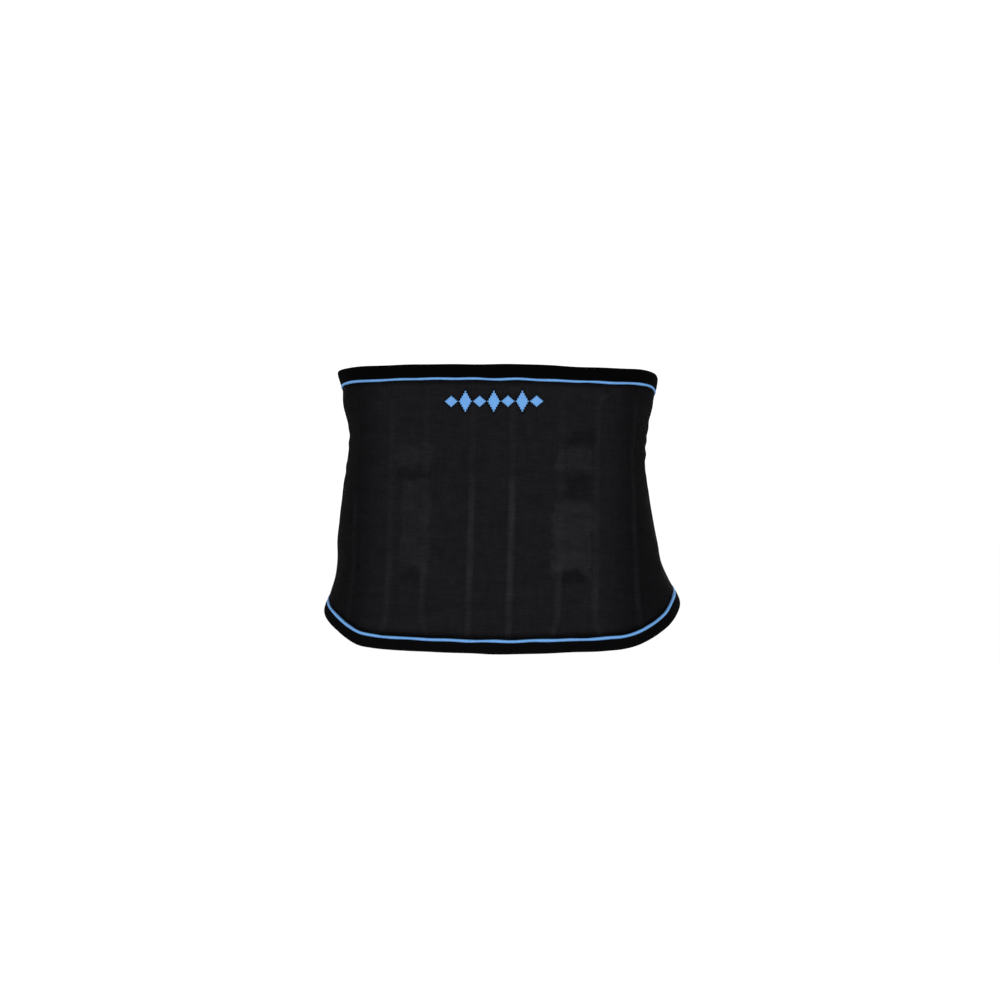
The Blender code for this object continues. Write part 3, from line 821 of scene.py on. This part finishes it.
def make_sleeve(stay, material):
    """A stay in its tape, which is sewn to the inner face along both sides."""
    half = STAY_WIDTH / 2 + SLEEVE_FLANGE
    across = columns(-half, half, SLEEVE_CELLS.across)
    along = rim_rows(SLEEVE_CELLS.up)
    overhang = SLEEVE_OVERHANG / KNIT_BACK_HEIGHT
    length = stay.top - TAPER_SHARE + 2 * overhang
    share = TAPER_SHARE - overhang + along * length
    from_end = (0.5 - np.abs(along - 0.5)) * length * KNIT_BACK_HEIGHT
    q = stay.at + across * (1 - SLEEVE_CORNER * (1 - arch(from_end / half)))
    over_stay = eased((STAY_WIDTH / 2 + SLEEVE_SLACK - np.abs(across)) / SLEEVE_BLEND)
    ends = eased((share - TAPER_SHARE) / overhang + 0.5) * eased((stay.top - share) / overhang + 0.5)
    bulge = over_stay * ends
    outside = (RIDGE_HEIGHT - CLEARANCE) * bulge - SLEEVE_GAP
    inside = -SLEEVE_TAPE - (STAY_WALL - RIDGE_HEIGHT) * SLEEVE_FULLER * bulge
    sleeve = make_wall(
        f"{stay.name}_sleeve", q, knit_height(q, share), outside, inside, mix(*SLEEVE_TONE, bulge),
        material, across=across,
    )
    return dress(sleeve, "sleeve", stay.name)


def pad_outline(across):
    """Lower and upper end of a pad, as shares of the knit's height. across runs from -1 to 1."""
    bow = 1 - across**2
    corner = PAD_ARCH / KNIT_BACK_HEIGHT
    return PAD_LOW + corner * bow, PAD_HIGH - PAD_SHOULDER * corner * (1 - bow) ** 2


def make_pad(side, material):
    """A covered pad between a pocket's two stays, swollen on its inner face by simulation."""
    first = POCKET_INNER_AT + CREST_HALF + POCKET_FLANK + CLEARANCE
    last = POCKET_OUTER_AT - CREST_HALF - POCKET_FLANK - CLEARANCE
    across = columns(-1, 1, PAD_CELLS.across)
    up = rows(0, 1, PAD_CELLS.up)
    q = side.sign * (first + last) / 2 + across * (last - first) / 2
    z = knit_height(q, mix(*pad_outline(across), up))
    rim = np.minimum((1 - np.abs(across)) * (last - first) / 2, (0.5 - np.abs(up - 0.5)) * PAD_LENGTH)
    crown = mix(PAD_RIM, 1, arch(rim / PAD_ROUNDING))
    inside = -CLEARANCE - PAD_WALL * PAD_FULLNESS * crown
    name = f"lumbar_pad_{side.name}"
    pad = make_wall(f"{name}_cover", q, z, -CLEARANCE, inside, 1.0, material)
    swell(pad, pinned=z.size)
    return dress(pad, "pad", name)


def swell(pad, pinned):
    """Lets a pad's free side fill out under pressure, and caps how far each point moves."""
    before = np.empty(len(pad.data.vertices) * 3)
    pad.data.vertices.foreach_get("co", before)
    held = pad.vertex_groups.new(name="Held")
    held.add(list(range(pinned)), 1.0, "REPLACE")
    cloth = pad.modifiers.new("Cloth", "CLOTH")
    cloth.settings.vertex_group_mass = "Held"
    cloth.settings.use_pressure = True
    cloth.settings.uniform_pressure_force = SWELL_PRESSURE
    cloth.settings.effector_weights.gravity = 0
    scene = bpy.context.scene
    for step in range(SWELL_FRAMES):
        scene.frame_set(step + 1)
    evaluated = pad.evaluated_get(bpy.context.evaluated_depsgraph_get())
    after = np.empty(len(before))
    evaluated.data.vertices.foreach_get("co", after)
    move = (after - before).reshape(-1, 3)
    length = np.linalg.norm(move, axis=1, keepdims=True)
    move *= np.minimum(1.0, SWELL / np.maximum(length, 1e-9))
    pad.modifiers.remove(cloth)
    pad.vertex_groups.remove(held)
    pad.data.vertices.foreach_set("co", (before.reshape(-1, 3) + move).ravel())
    pad.data.update()
    scene.frame_set(1)


def make_binding(side, material):
    """The tape that binds a free end, over both faces."""
    outermost = side.end + side.sign * BINDING_OVER
    q = np.sort(columns(outermost, side.end - side.sign * BINDING_WIDTH, BINDING_CELLS.across), axis=0)
    z = belt_height(q, rows(0, 1, BINDING_CELLS.up), past=BINDING_OVER / 2)
    into = np.abs(q - outermost)
    hem = eased((into - BINDING_WIDTH + BINDING_HEM) / BINDING_HEM)
    half = BAND_WALL / 2 + BINDING_OVER * (1 - HEM_THINNER * hem)
    half = half * mix(BINDING_RIM, 1, arch(into / BINDING_ROUNDING))
    name = f"{side.name}_end_binding"
    binding = make_wall(name, q, z, BAND_WALL / 2 + half, BAND_WALL / 2 - half, BINDING_TONE, material)
    return dress(binding, "band")


def make_patch(material):
    """The hook patch between the lapped ends, with a thinner sewn border."""
    start = WAIST.half_right - OVERLAP / 2 + PATCH_INSET
    end = RIGHT_END - PATCH_INSET
    inset = PATCH_INSET / KNIT_BACK_HEIGHT
    q = columns(start, end, PATCH_CELLS.across)
    share = rows(inset, 1 - inset, PATCH_CELLS.up)
    from_side = np.minimum(q - start, end - q)
    from_end = (0.5 - inset - np.abs(share - 0.5)) * KNIT_BACK_HEIGHT
    hooked = eased(np.minimum(from_side, from_end) / HOOK_BORDER - HOOKS_FROM)
    face = KNIT_WALL + CLEARANCE
    outside = face + PATCH_WALL * (PATCH_RIM + PATCH_HOOKS * hooked)
    tone = mix(*PATCH_TONE, hooked)
    patch = make_wall("hook_patch", q, knit_height(q, share), outside, face, tone, material)
    return dress(patch, "hook", "closure_patch")


# Seams of single stitches. Those across a sleeve take the share CROSS_SEAM of its width, and those
# along the free ends start at END_SEAM_FROM of the belt's height.
STITCH_LENGTH = 0.0022
STITCH_GAP = 0.0009
THREAD_RADIUS = 0.00022
THREAD_SIDES = 5
THREAD_RINGS = 5
THREAD_TIP = 0.05
SEAM_START = 0.001
SEAM_OUTWARD = 0.0002
SEAM_POINTS = 300
CROSS_SEAM = 0.75
CROSS_POINTS = 60
END_SEAM_INSET = 0.0072
END_SEAM_FROM = 0.015


def seam_lines():
    """Lines of thread: for each, girth positions, heights and its offset."""
    lines = []
    half = STAY_WIDTH / 2 + SLEEVE_FLANGE / 2 + SEAM_OUTWARD
    end_seam = SLEEVE_OVERHANG / KNIT_BACK_HEIGHT / 2
    for stay in STAYS:
        share = np.linspace(TAPER_SHARE, stay.top, SEAM_POINTS)
        for sign, end in ((-1, TAPER_SHARE - end_seam), (1, stay.top + end_seam)):
            q = np.full(SEAM_POINTS, stay.at + sign * half)
            lines.append((q, knit_height(q, share), -SLEEVE_TAPE))
            q = stay.at + np.linspace(-CROSS_SEAM, CROSS_SEAM, CROSS_POINTS) * half
            lines.append((q, knit_height(q, end), -SLEEVE_TAPE))
    for side in SIDES:
        q = np.full(SEAM_POINTS, side.end - side.sign * END_SEAM_INSET)
        z = belt_height(q, np.linspace(END_SEAM_FROM, 1 - END_SEAM_FROM, SEAM_POINTS))
        lines.append((q, z, BAND_WALL + BINDING_OVER))
        lines.append((q, z, -BINDING_OVER))
    return lines


def make_seams(material):
    """Every stitch of thread as a short rounded capsule along its line."""
    turn = np.linspace(0, math.tau, THREAD_SIDES, endpoint=False)[:, None]
    along = np.linspace(-1, 1, THREAD_RINGS)
    radius = THREAD_RADIUS * np.sqrt(np.clip(1 - along**4, THREAD_TIP, 1))[:, None, None]
    stitches = []
    for q, z, offset in seam_lines():
        path = place(q, z, offset)
        outward = place(q, z, offset + STITCH_LENGTH) - path
        outward /= np.linalg.norm(outward, axis=1, keepdims=True)
        length = np.concatenate([[0], np.cumsum(np.linalg.norm(np.diff(path, axis=0), axis=1))])
        starts = np.arange(SEAM_START, length[-1] - STITCH_LENGTH, STITCH_LENGTH + STITCH_GAP)
        at = starts[:, None] + (along + 1) / 2 * STITCH_LENGTH
        centre = interp_each(at, length, path.T)
        normal = interp_each(at, length, outward.T)
        sideways = np.cross(np.gradient(centre, axis=1), normal)
        sideways /= np.linalg.norm(sideways, axis=-1, keepdims=True)
        around = np.cos(turn) * sideways[:, :, None] + np.sin(turn) * normal[:, :, None]
        stitches.append((centre[:, :, None] + radius * around).reshape(-1, 3))
    points = np.concatenate(stitches)
    ring = np.arange(THREAD_RINGS * THREAD_SIDES).reshape(THREAD_RINGS, THREAD_SIDES)
    ahead = np.roll(ring, -1, axis=1)
    sides = np.stack([ring[:-1], ahead[:-1], ahead[1:], ring[1:]], axis=-1).reshape(-1, 4)
    firsts = np.arange(0, len(points), ring.size)
    faces = (firsts[:, None, None] + sides).reshape(-1, 4)
    seams = finish_mesh("seams", points, faces, points[:, [0, 2]], np.ones(len(points)), material)
    return dress(seams, "sleeve")


# Materials. Patches make a colour uneven: they are factors between low and high, along the girth
# and up the cloth, or of one size through space where up isn't given.
Patches = namedtuple("Patches", "low high along up", defaults=(None,))
KNIT_PATCHES = (
    Patches(0.62, 1.38, 0.014, up=0.0012),
    Patches(0.80, 1.20, 0.0018, up=0.030),
    Patches(0.75, 1.25, 0.0016),
    Patches(0.82, 1.18, 0.110, up=0.010),
    Patches(0.76, 1.24, 0.009),
)
SHEEN_ROUGHNESS = 0.45


def fill(tree, made, inputs):
    """Gives a node's inputs numbers or other nodes' outputs."""
    for key, value in inputs.items():
        if isinstance(value, bpy.types.NodeSocket):
            tree.links.new(value, made.inputs[key])
        else:
            made.inputs[key].default_value = value


def node(tree, kind, inputs=None, output=0, **settings):
    """Adds a shader node and gives its output."""
    made = tree.nodes.new("ShaderNode" + kind)
    for name, value in settings.items():
        setattr(made, name, value)
    fill(tree, made, inputs or {})
    return made.outputs[output]


def math_node(tree, operation, *values):
    """A Math node's result."""
    return node(tree, "Math", dict(enumerate(values)), operation=operation)


def product(tree, *values):
    """The product of several values."""
    total = values[0]
    for value in values[1:]:
        total = math_node(tree, "MULTIPLY", total, value)
    return total


def ranged(tree, value, low, high):
    """A value from 0 to 1, spread from low to high."""
    return node(tree, "MapRange", {"Value": value, "To Min": low, "To Max": high})


def scaled(tree, colour, factor):
    """A colour times a factor."""
    return node(tree, "VectorMath", {0: colour, "Scale": factor}, operation="SCALE")


def weave_axes(tree):
    """The lengths along the girth and up the cloth at each point, in metres."""
    where = node(tree, "UVMap", uv_map="Weave")
    return [node(tree, "SeparateXYZ", {0: where}, output=axis) for axis in (0, 1)]


def stretched_noise(tree, u, v, along, up):
    """Noise whose patches are about along by up metres on the cloth."""
    counts = {0: math_node(tree, "DIVIDE", u, along), 1: math_node(tree, "DIVIDE", v, up)}
    vector = node(tree, "CombineXYZ", counts)
    return node(tree, "TexNoise", {"Vector": vector, "Scale": 1.0, "Detail": 2.0})


def solid_noise(tree, size, detail=3.0):
    """Noise through space, with patches of about that size in metres."""
    where = node(tree, "TexCoord", output="Object")
    return node(tree, "TexNoise", {"Vector": where, "Scale": 1 / size, "Detail": detail})


def patchy(tree, u, v, patches):
    """A factor that is uneven in patches."""
    if patches.up is None:
        value = solid_noise(tree, patches.along)
    else:
        value = stretched_noise(tree, u, v, patches.along, patches.up)
    return ranged(tree, value, patches.low, patches.high)


def fuzz(tree, size, height):
    """Fine fuzz of up to a height."""
    return ranged(tree, solid_noise(tree, size), 0.0, height)


def wave(tree, value, pitch):
    """A sine wave along a value, once in each pitch."""
    return math_node(tree, "SINE", product(tree, value, math.tau / pitch))


def spots(tree, u, v, number, randomness):
    """Distance from the nearest of many spots, of which there are this number in a metre."""
    vector = node(tree, "CombineXYZ", {0: u, 1: v})
    inputs = {"Vector": vector, "Scale": number, "Randomness": randomness}
    return node(tree, "TexVoronoi", inputs, feature="F1")


def stitch_nodes(tree, u, v):
    """Height of V-shaped stitches, from 0 between the yarns to 1 on top of them."""
    turn = math_node(tree, "FRACT", math_node(tree, "DIVIDE", u, WALE))
    leg = product(tree, math_node(tree, "ABSOLUTE", math_node(tree, "SUBTRACT", turn, 0.5)), 2.0)
    rise = math_node(tree, "MULTIPLY", leg, STITCH_SLANT)
    along = math_node(tree, "FRACT", math_node(tree, "ADD", math_node(tree, "DIVIDE", v, COURSE), rise))
    return product(tree, wave(tree, leg, 2), ranged(tree, wave(tree, along, 2), STITCH_LOW, 1.0))


def cloth_material(name, colour, height, depth, yarn, patches, roughness, sheen, specular):
    """A cloth finish. height is a function that adds nodes for the surface, which is depth high.
    yarn is the colour's factors low and high on it, a painted shade in the surface's hollows, and
    roughness is a range too."""
    made = bpy.data.materials.new(name)
    made.use_nodes = True
    tree = made.node_tree
    u, v = weave_axes(tree)
    surface = height(tree, u, v)
    tone = node(tree, "Attribute", output="Fac", attribute_name="Tone")
    uneven = (patchy(tree, u, v, one) for one in patches)
    # Painted shade in the hollows of the surface, by the yarn factors
    factor = product(tree, tone, ranged(tree, surface, *yarn), *uneven)
    bump = node(tree, "Bump", {"Height": surface, "Strength": 1.0, "Distance": depth})
    fill(tree, tree.nodes["Principled BSDF"], {
        "Base Color": scaled(tree, colour, factor),
        "Roughness": ranged(tree, solid_noise(tree, 0.004), *roughness),
        "Normal": bump,
        "Specular IOR Level": specular,
        "Sheen Weight": sheen,
        "Sheen Roughness": SHEEN_ROUGHNESS,
        "Sheen Tint": SHEEN_TINT,
    })
    return made


def make_knit_material():
    """Black elastic knit: V-shaped stitches in fine courses, with uneven yarn and lint."""

    def height(tree, u, v):
        loops = stitch_nodes(tree, u, v)
        courses = ranged(tree, stretched_noise(tree, u, v, 0.030, COURSE), 0.0, 0.5)
        return math_node(tree, "ADD", loops, math_node(tree, "ADD", courses, fuzz(tree, 0.0006, 0.35)))

    return cloth_material(
        "knit_cloth", KNIT_COLOUR, height, depth=0.00030, yarn=(0.52, 1.22), patches=KNIT_PATCHES,
        roughness=(0.85, 1.0), sheen=0.0005, specular=0.01,
    )


def make_band_material():
    """Ribbed elastic, nearly black, with fine threads across the ribs."""

    def height(tree, u, v):
        threads = ranged(tree, wave(tree, v, 0.0008), 0.5, 1.0)
        return math_node(tree, "ADD", threads, fuzz(tree, 0.0005, 0.6))

    return cloth_material(
        "band_elastic", BAND_COLOUR, height, depth=0.00010, yarn=(0.85, 1.05),
        patches=[Patches(0.80, 1.20, 0.012)],
        roughness=(0.80, 0.95), sheen=0.0005, specular=0.01,
    )


def make_yarn_material():
    """Light blue yarn, darker between its stitches, with a slight fuzz."""

    def height(tree, u, v):
        return solid_noise(tree, 0.0004, detail=4.0)

    return cloth_material(
        "blue_yarn", YARN_COLOUR, height, depth=0.00012, yarn=(0.85, 1.15),
        patches=[Patches(0.92, 1.08, 0.008)],
        roughness=(0.65, 0.85), sheen=0.03, specular=0.10,
    )


def make_twill_material(name, colour, pitch):
    """Woven tape with a fine slanting twill."""

    def height(tree, u, v):
        slanting = ranged(tree, wave(tree, math_node(tree, "ADD", u, v), pitch), 0.5, 1.0)
        level = ranged(tree, wave(tree, v, pitch * 0.55), 0.2, 0.4)
        woven = math_node(tree, "ADD", slanting, level)
        return math_node(tree, "ADD", woven, fuzz(tree, 0.0005, 0.3))

    return cloth_material(
        name, colour, height, depth=0.00014, yarn=(0.80, 1.10),
        patches=[Patches(0.88, 1.12, 0.010)],
        roughness=(0.70, 0.90), sheen=0.002, specular=0.03,
    )


def make_pad_material():
    """Brushed pad cover with small raised dots."""

    def height(tree, u, v):
        dots = math_node(tree, "SUBTRACT", 1.0, spots(tree, u, v, number=420, randomness=0.15))
        return math_node(tree, "ADD", ranged(tree, dots, 0.0, 1.0), fuzz(tree, 0.0005, 0.5))

    return cloth_material(
        "pad_cover", PAD_COLOUR, height, depth=0.00025, yarn=(0.75, 1.00),
        patches=[Patches(0.88, 1.12, 0.012)],
        roughness=(0.60, 0.80), sheen=0.005, specular=0.04,
    )


def make_hook_material():
    """Hook tape with a dense field of small hooks."""

    def height(tree, u, v):
        return math_node(tree, "SUBTRACT", 1.0, spots(tree, u, v, number=900, randomness=0.5))

    return cloth_material(
        "hook_tape", HOOK_COLOUR, height, depth=0.00030, yarn=(0.60, 1.20),
        patches=[Patches(0.85, 1.15, 0.010)],
        roughness=(0.45, 0.65), sheen=0.0, specular=0.25,
    )


def make_floor_material():
    """Pale matt floor with a faint unevenness."""
    made = bpy.data.materials.new("pale_floor")
    made.use_nodes = True
    tree = made.node_tree
    fill(tree, tree.nodes["Principled BSDF"], {
        "Base Color": scaled(tree, FLOOR_COLOUR, ranged(tree, solid_noise(tree, 0.8), 0.98, 1.0)),
        "Roughness": 0.9,
        "Specular IOR Level": 0.1,
    })
    return made


# The studio


def make_floor(material):
    """A wide plane well below the belt."""
    mesh = bpy.data.meshes.new("floor")
    corners = ((-1, -1), (1, -1), (1, 1), (-1, 1))
    points = [(FLOOR_REACH * x, FLOOR_REACH * y, FLOOR_HEIGHT) for x, y in corners]
    mesh.from_pydata(points, [], [(0, 1, 2, 3)])
    mesh.materials.append(material)
    add_object("floor", mesh)


def make_light(light):
    """A square soft light that faces the belt."""
    data = bpy.data.lights.new(light.name, "AREA")
    data.size = light.size
    data.energy = light.energy
    lamp = add_object(light.name, data)
    lamp.location = light.at
    lamp.rotation_mode = "QUATERNION"
    lamp.rotation_quaternion = (-lamp.location).to_track_quat("-Z", "Y")


def make_studio():
    """White surroundings, soft lights and the camera."""
    scene = bpy.context.scene
    world = bpy.data.worlds.new("studio")
    world.use_nodes = True
    background = world.node_tree.nodes["Background"]
    fill(world.node_tree, background, {"Color": WORLD_COLOUR, "Strength": WORLD_STRENGTH})
    scene.world = world
    for light in LIGHTS:
        make_light(light)
    scene.view_settings.view_transform = "Standard"
    turn = math.radians(CAMERA_TURN)
    data = bpy.data.cameras.new("camera")
    data.sensor_fit = "HORIZONTAL"
    data.sensor_width = SENSOR_WIDTH
    data.lens = CAMERA_FOCAL / FRAME_WIDTH * SENSOR_WIDTH
    data.clip_start, data.clip_end = CAMERA_CLIP
    camera = add_object("camera", data)
    camera.location = (CAMERA_DISTANCE * math.sin(turn), -CAMERA_DISTANCE * math.cos(turn), CAMERA_HEIGHT)
    camera.rotation_euler = (math.pi / 2, 0.0, turn)
    scene.camera = camera


def main():
    """Builds the studio and every piece of the belt."""
    make_studio()
    make_floor(make_floor_material())
    knit_cloth = make_knit_material()
    elastic = make_band_material()
    yarn = make_yarn_material()
    tape = make_twill_material("sleeve_tape", SLEEVE_COLOUR, pitch=0.0011)
    thread = make_twill_material("sewing_thread", THREAD_COLOUR, pitch=0.0006)
    pad_cover = make_pad_material()
    knit = make_knit(knit_cloth)
    for edge in (TOP, BOTTOM):
        make_band(edge, elastic)
        make_stripe(edge, yarn)
    make_motif(yarn)
    for stay in STAYS:
        make_sleeve(stay, tape)
    for side in SIDES:
        make_pad(side, pad_cover)
        make_binding(side, tape)
    make_patch(make_hook_material())
    make_seams(thread)


main()
